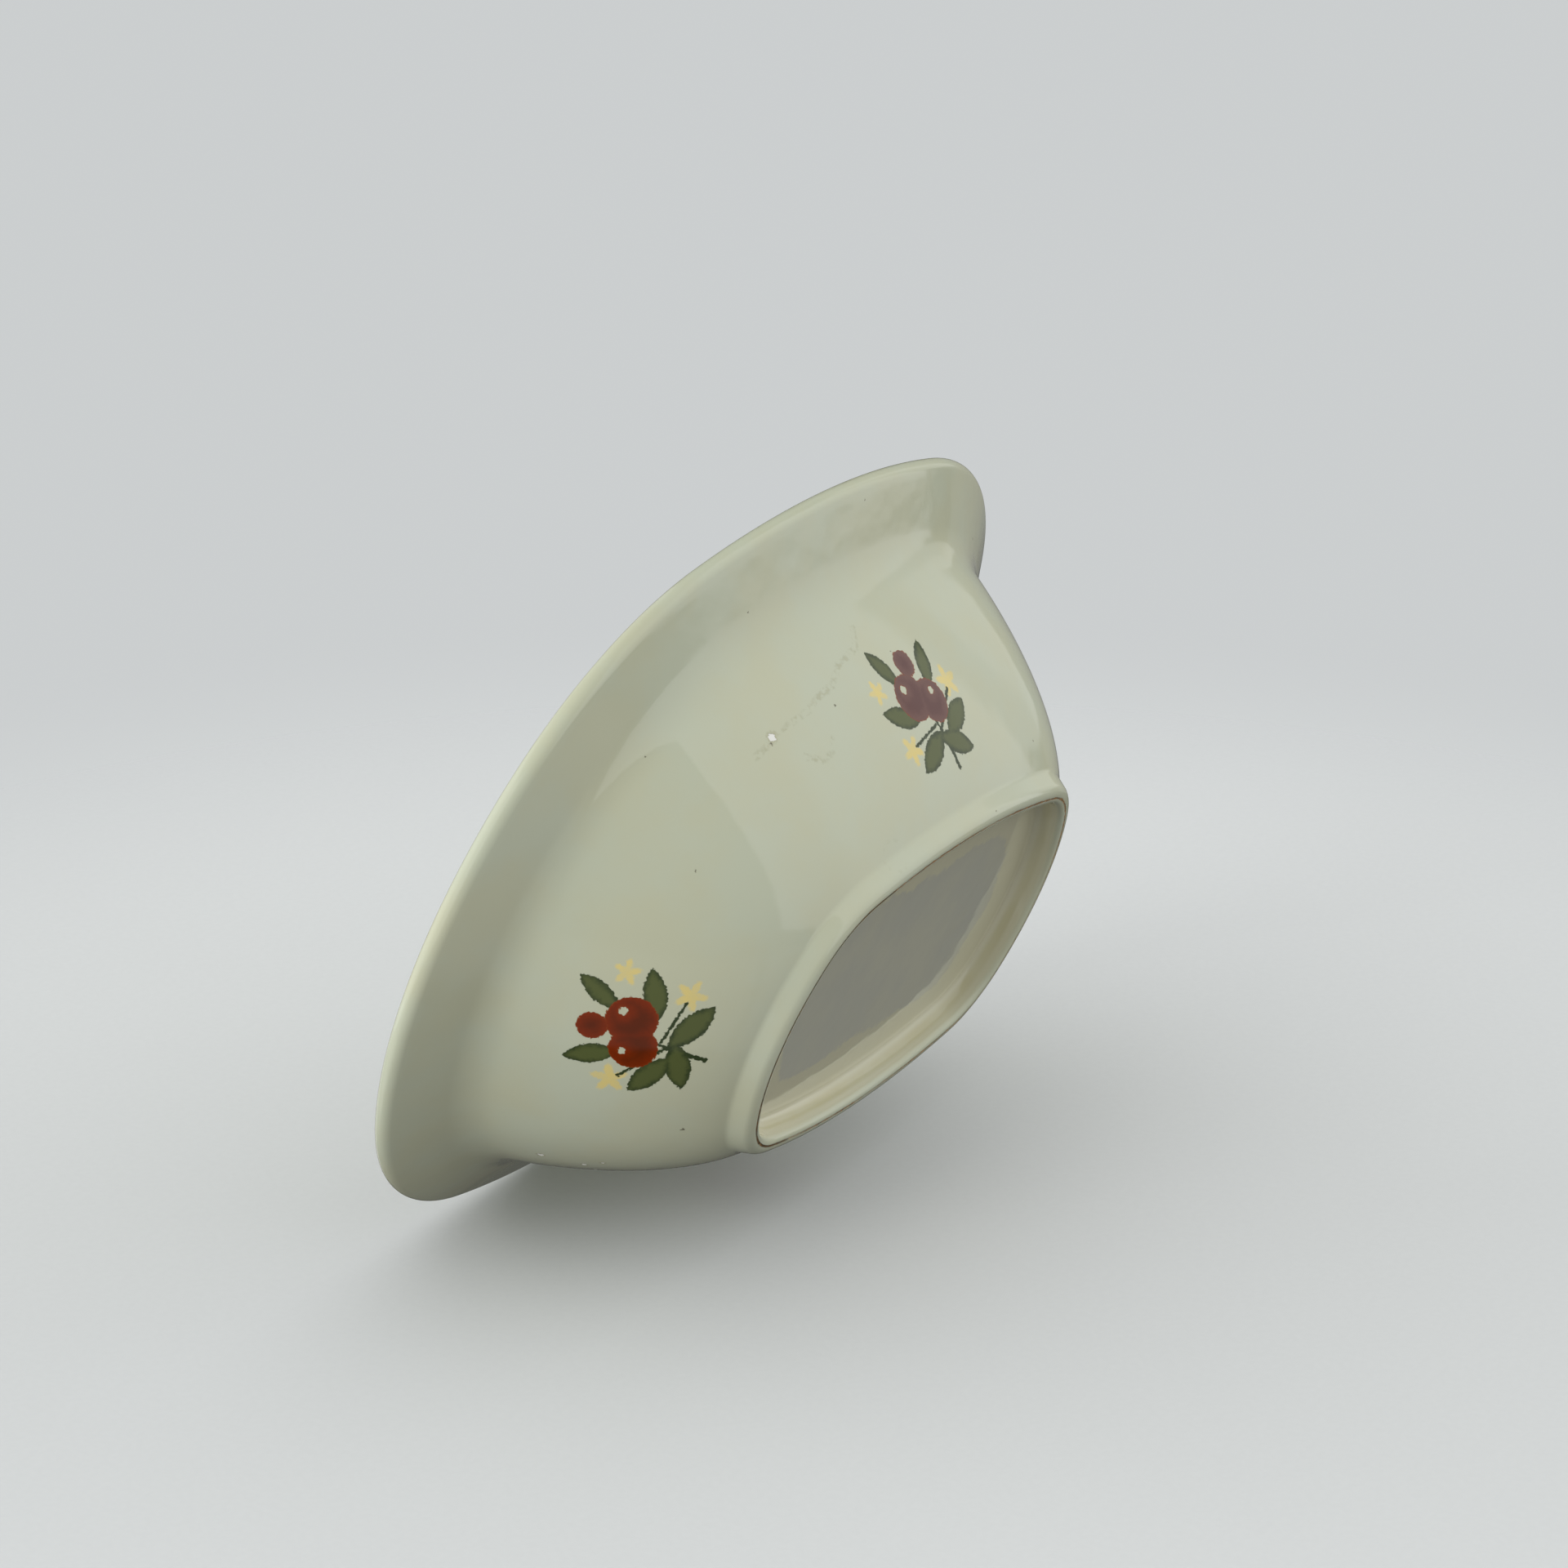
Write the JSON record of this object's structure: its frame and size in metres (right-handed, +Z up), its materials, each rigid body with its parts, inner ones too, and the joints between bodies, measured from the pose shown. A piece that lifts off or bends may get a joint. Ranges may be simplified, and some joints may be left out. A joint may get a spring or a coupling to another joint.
{
  "type": "oval pie dish",
  "caption": "Oval earthenware pie dish, cream glazed, with a flared rolled rim, bowed sloping walls and a low oval ring foot around a recessed base",
  "frame": {"origin": "centre of the foot on the surface the dish stands on", "axes": "X along the length, Y across the width, Z up out of the dish"},
  "size_m": [0.312, 0.245, 0.0875],
  "materials": {
    "cream_glaze": "glossy cream glaze over earthenware, with a worn unglazed line on the foot"
  },
  "bodies": {
    "root": {"dish": "cream_glaze"}
  },
  "joints": []
}
